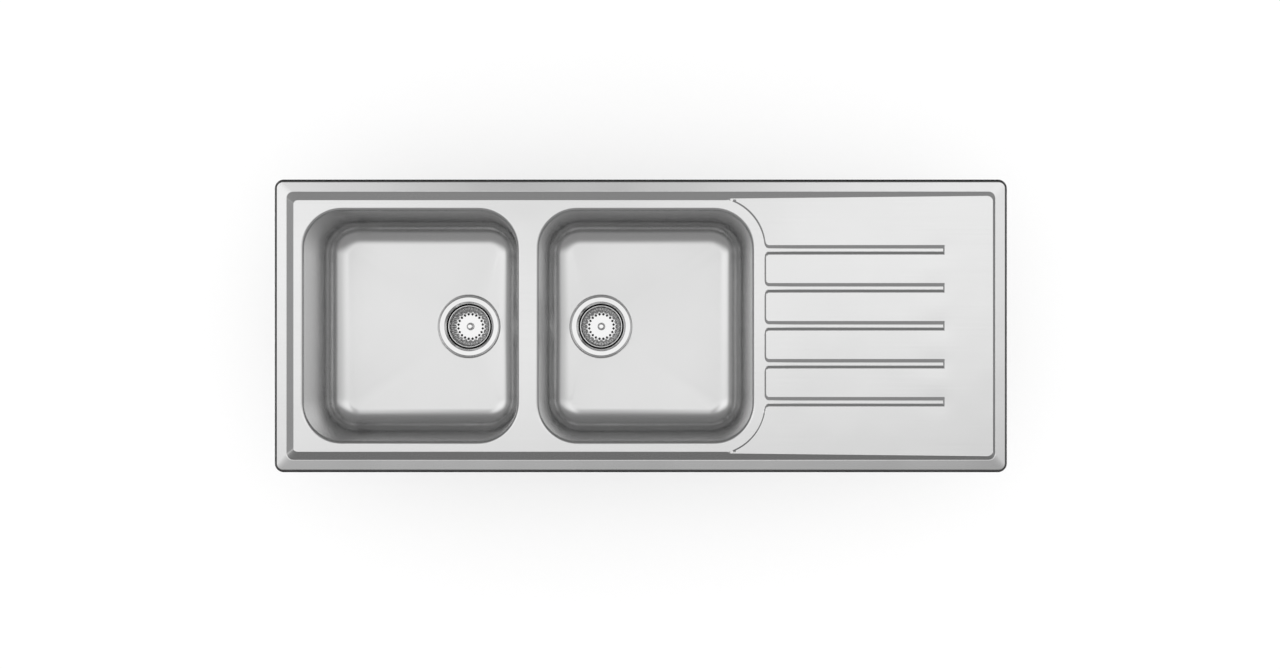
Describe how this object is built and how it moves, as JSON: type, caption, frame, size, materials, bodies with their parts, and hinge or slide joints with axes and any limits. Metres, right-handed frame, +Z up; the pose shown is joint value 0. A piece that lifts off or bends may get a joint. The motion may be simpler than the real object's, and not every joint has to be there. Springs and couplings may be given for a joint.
{
  "type": "inset kitchen sink with drainer",
  "caption": "Pressed stainless inset sink: deep drawn bowls with basket strainers beside a sloping grooved drainer, with outlets and swing-out worktop clamps below.",
  "frame": {"origin": "centre of the outline, at the level of the worktop that the rim lies on", "axes": "+X along the length towards the drainer, +Y towards the back, +Z up"},
  "size_m": [1.25, 0.5, 0.2879],
  "materials": {
    "deck_steel": "fine brushed grain along the length",
    "bowl_steel": "satin brushed",
    "polished_flange": "polished, spun",
    "basket_steel": "polished, pressed",
    "knob_steel": "polished",
    "plated_steel": "zinc plated",
    "galvanised_steel": "galvanised, dull",
    "clamp_nut_steel": "zinc plated",
    "black_rubber": "matt",
    "seal_foam": "matt, closed cell",
    "damping_pad": "matt, filled sheet",
    "outlet_plastic": "moulded, fine texture",
    "insert_brass": "turned"
  },
  "bodies": {
    "sink": {"deck": "deck_steel", "left_bowl": "bowl_steel", "right_bowl": "bowl_steel", "left_bowl_pad": "damping_pad", "right_bowl_pad": "damping_pad", "drainer_pads": "damping_pad", "rim_seal": "seal_foam", "clamp_brackets": "galvanised_steel", "clamp_screws": "plated_steel", "left_flange_gasket": "black_rubber", "left_strainer_cup": "polished_flange", "left_outlet_gasket": "black_rubber", "left_outlet_body": "outlet_plastic", "left_outlet_insert": "insert_brass", "left_outlet_screw": "plated_steel", "right_flange_gasket": "black_rubber", "right_strainer_cup": "polished_flange", "right_outlet_gasket": "black_rubber", "right_outlet_body": "outlet_plastic", "right_outlet_insert": "insert_brass", "right_outlet_screw": "plated_steel"},
    "left_basket_body": {"left_basket": "basket_steel", "left_basket_knob": "knob_steel", "left_basket_seal": "black_rubber", "left_basket_nut": "plated_steel"},
    "right_basket_body": {"right_basket": "basket_steel", "right_basket_knob": "knob_steel", "right_basket_seal": "black_rubber", "right_basket_nut": "plated_steel"},
    "nut_1": {"clamp_nut_1": "clamp_nut_steel"},
    "claw_1": {"clamp_claw_1": "galvanised_steel"},
    "nut_2": {"clamp_nut_2": "clamp_nut_steel"},
    "claw_2": {"clamp_claw_2": "galvanised_steel"},
    "nut_3": {"clamp_nut_3": "clamp_nut_steel"},
    "claw_3": {"clamp_claw_3": "galvanised_steel"},
    "nut_4": {"clamp_nut_4": "clamp_nut_steel"},
    "claw_4": {"clamp_claw_4": "galvanised_steel"},
    "nut_5": {"clamp_nut_5": "clamp_nut_steel"},
    "claw_5": {"clamp_claw_5": "galvanised_steel"},
    "nut_6": {"clamp_nut_6": "clamp_nut_steel"},
    "claw_6": {"clamp_claw_6": "galvanised_steel"},
    "nut_7": {"clamp_nut_7": "clamp_nut_steel"},
    "claw_7": {"clamp_claw_7": "galvanised_steel"},
    "nut_8": {"clamp_nut_8": "clamp_nut_steel"},
    "claw_8": {"clamp_claw_8": "galvanised_steel"}
  },
  "joints": [
    {"name": "left_basket_lift", "type": "slide", "parent": "sink", "child": "left_basket_body", "axis": [0, 0, 1], "range_m": [0, 0.25]},
    {"name": "right_basket_lift", "type": "slide", "parent": "sink", "child": "right_basket_body", "axis": [0, 0, 1], "range_m": [0, 0.25]},
    {"name": "clamp_1_climb", "type": "slide", "parent": "sink", "child": "nut_1", "axis": [0, 0, 1], "range_m": [0, 0.026]},
    {"name": "clamp_1_swing", "type": "hinge", "parent": "nut_1", "child": "claw_1", "pos_m": [-0.48, 0.2285, -0.054], "axis": [0, 0, -1], "range_deg": [0, 90]},
    {"name": "clamp_2_climb", "type": "slide", "parent": "sink", "child": "nut_2", "axis": [0, 0, 1], "range_m": [0, 0.026]},
    {"name": "clamp_2_swing", "type": "hinge", "parent": "nut_2", "child": "claw_2", "pos_m": [0, 0.2285, -0.054], "axis": [0, 0, -1], "range_deg": [0, 90]},
    {"name": "clamp_3_climb", "type": "slide", "parent": "sink", "child": "nut_3", "axis": [0, 0, 1], "range_m": [0, 0.026]},
    {"name": "clamp_3_swing", "type": "hinge", "parent": "nut_3", "child": "claw_3", "pos_m": [0.48, 0.2285, -0.054], "axis": [0, 0, -1], "range_deg": [0, 90]},
    {"name": "clamp_4_climb", "type": "slide", "parent": "sink", "child": "nut_4", "axis": [0, 0, 1], "range_m": [0, 0.026]},
    {"name": "clamp_4_swing", "type": "hinge", "parent": "nut_4", "child": "claw_4", "pos_m": [-0.48, -0.2285, -0.054], "axis": [0, 0, -1], "range_deg": [0, 90]},
    {"name": "clamp_5_climb", "type": "slide", "parent": "sink", "child": "nut_5", "axis": [0, 0, 1], "range_m": [0, 0.026]},
    {"name": "clamp_5_swing", "type": "hinge", "parent": "nut_5", "child": "claw_5", "pos_m": [0, -0.2285, -0.054], "axis": [0, 0, -1], "range_deg": [0, 90]},
    {"name": "clamp_6_climb", "type": "slide", "parent": "sink", "child": "nut_6", "axis": [0, 0, 1], "range_m": [0, 0.026]},
    {"name": "clamp_6_swing", "type": "hinge", "parent": "nut_6", "child": "claw_6", "pos_m": [0.48, -0.2285, -0.054], "axis": [0, 0, -1], "range_deg": [0, 90]},
    {"name": "clamp_7_climb", "type": "slide", "parent": "sink", "child": "nut_7", "axis": [0, 0, 1], "range_m": [0, 0.026]},
    {"name": "clamp_7_swing", "type": "hinge", "parent": "nut_7", "child": "claw_7", "pos_m": [0.6035, 0, -0.054], "axis": [0, 0, -1], "range_deg": [0, 90]},
    {"name": "clamp_8_climb", "type": "slide", "parent": "sink", "child": "nut_8", "axis": [0, 0, 1], "range_m": [0, 0.026]},
    {"name": "clamp_8_swing", "type": "hinge", "parent": "nut_8", "child": "claw_8", "pos_m": [-0.6035, 0, -0.054], "axis": [0, 0, -1], "range_deg": [0, 90]}
  ]
}
